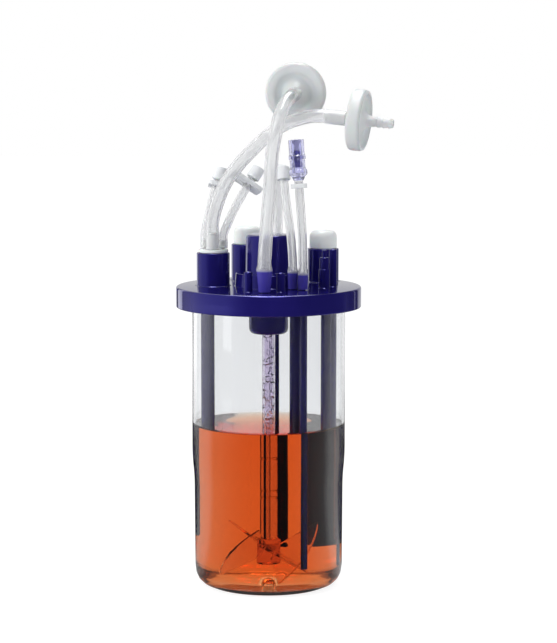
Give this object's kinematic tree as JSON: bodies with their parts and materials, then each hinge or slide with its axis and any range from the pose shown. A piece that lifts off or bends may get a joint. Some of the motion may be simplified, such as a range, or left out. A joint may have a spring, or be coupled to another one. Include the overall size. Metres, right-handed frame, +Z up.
{
  "type": "bench bioreactor",
  "caption": "Upright clear stirred vessel half full of orange medium, closed by an indigo head plate with ports, dip tubes, hoses, disc filters, clamps and a sampling valve.",
  "frame": {"origin": "the middle of the vessel's flat underside, on the bench", "axes": "+Z runs up the stirrer shaft, -Y points at the front and +X is to the right as seen from the front"},
  "size_m": [0.1584, 0.135, 0.3864],
  "materials": {
    "clear_plastic": "clear, glossy moulded polystyrene or polycarbonate",
    "shaft_plastic": "clear, faintly lilac extruded tube",
    "medium": "still, clear orange liquid",
    "indigo_plastic": "glossy moulded indigo",
    "dark_indigo_plastic": "glossy, darker indigo",
    "white_plastic": "satin white",
    "milky_plastic": "milky, half clear, satin",
    "hose_elastomer": "milky, half clear, soft",
    "violet_plastic": "clear violet",
    "silicone": "white silicone",
    "black_rubber": "black sealing rubber",
    "magnet_metal": "nickel-plated magnet metal"
  },
  "bodies": {
    "base": {"vessel": "clear_plastic", "culture_medium": "medium", "head_plate": "indigo_plastic", "bearing_cup": "dark_indigo_plastic", "sensor_sleeve_left": "dark_indigo_plastic", "sensor_sleeve_rear": "dark_indigo_plastic", "sensor_sleeve_right": "dark_indigo_plastic", "sampling_tube": "dark_indigo_plastic", "sparger_tube": "dark_indigo_plastic", "harvest_tube": "dark_indigo_plastic", "bearing_bush": "white_plastic", "port_plug": "white_plastic", "exhaust_filter_membrane": "white_plastic", "gas_filter_membrane": "white_plastic", "exhaust_filter_inlet_half": "milky_plastic", "exhaust_filter_outlet_half": "milky_plastic", "gas_filter_inlet_half": "milky_plastic", "gas_filter_outlet_half": "milky_plastic", "left_line_connector": "milky_plastic", "middle_line_connector": "milky_plastic", "rear_line_connector": "milky_plastic", "front_line_connector": "milky_plastic", "exhaust_hose": "hose_elastomer", "gas_hose": "hose_elastomer", "left_line_hose": "hose_elastomer", "middle_line_hose": "hose_elastomer", "rear_line_hose": "hose_elastomer", "front_line_hose": "hose_elastomer", "valve_line_hose": "hose_elastomer", "valve_base": "violet_plastic", "valve_housing": "violet_plastic", "seal_ring": "black_rubber", "pivot_pin": "magnet_metal"},
    "stirrer": {"magnet_carrier": "white_plastic", "drive_magnet": "magnet_metal", "stirrer_shaft": "shaft_plastic", "impeller": "clear_plastic"},
    "cap_rear_left": {"port_cap_rear_left": "white_plastic"},
    "cap_rear_right": {"port_cap_rear_right": "white_plastic"},
    "left_clamp": {"left_line_clamp": "white_plastic"},
    "middle_clamp": {"middle_line_clamp": "white_plastic"},
    "valve_clamp": {"valve_line_clamp": "white_plastic"},
    "left_luer_cap": {"left_line_cap": "white_plastic"},
    "middle_luer_cap": {"middle_line_cap": "white_plastic"},
    "rear_luer_cap": {"rear_line_cap": "white_plastic"},
    "front_luer_cap": {"front_line_cap": "white_plastic"},
    "stem": {"valve_stem": "silicone"}
  },
  "joints": [
    {"name": "stirrer_spin", "type": "hinge", "parent": "base", "child": "stirrer", "pos_m": [0, 0, 0.2], "axis": [0, 0, 1], "continuous": true},
    {"name": "rear_left_cap_lift", "type": "slide", "parent": "base", "child": "cap_rear_left", "axis": [0, 0, 1], "range_m": [0, 0.03]},
    {"name": "rear_right_cap_lift", "type": "slide", "parent": "base", "child": "cap_rear_right", "axis": [0, 0, 1], "range_m": [0, 0.03]},
    {"name": "left_clamp_slide", "type": "slide", "parent": "base", "child": "left_clamp", "axis": [0.0559, -0.9823, 0.1785], "range_m": [0, 0.0075], "deforming": ["left_line_hose"]},
    {"name": "middle_clamp_slide", "type": "slide", "parent": "base", "child": "middle_clamp", "axis": [0.809, 0.1524, -0.5677], "range_m": [0, 0.0075], "deforming": ["middle_line_hose"]},
    {"name": "valve_clamp_slide", "type": "slide", "parent": "base", "child": "valve_clamp", "axis": [-0.005, -0.9972, 0.0751], "range_m": [0, 0.0075], "deforming": ["valve_line_hose"]},
    {"name": "left_luer_cap_pull", "type": "slide", "parent": "base", "child": "left_luer_cap", "axis": [0.2966, 0.173, 0.9392], "range_m": [0, 0.012]},
    {"name": "middle_luer_cap_pull", "type": "slide", "parent": "base", "child": "middle_luer_cap", "axis": [0.5274, 0.2397, 0.8151], "range_m": [0, 0.012]},
    {"name": "rear_luer_cap_pull", "type": "slide", "parent": "base", "child": "rear_luer_cap", "axis": [0.0214, -0.1069, 0.994], "range_m": [0, 0.012]},
    {"name": "front_luer_cap_pull", "type": "slide", "parent": "base", "child": "front_luer_cap", "axis": [-0.0857, 0.3215, 0.943], "range_m": [0, 0.012]},
    {"name": "valve_stem_press", "type": "slide", "parent": "base", "child": "stem", "axis": [0.0676, -0.0773, -0.9947], "range_m": [0, 0.0035], "stiffness_N_per_m": 300}
  ]
}
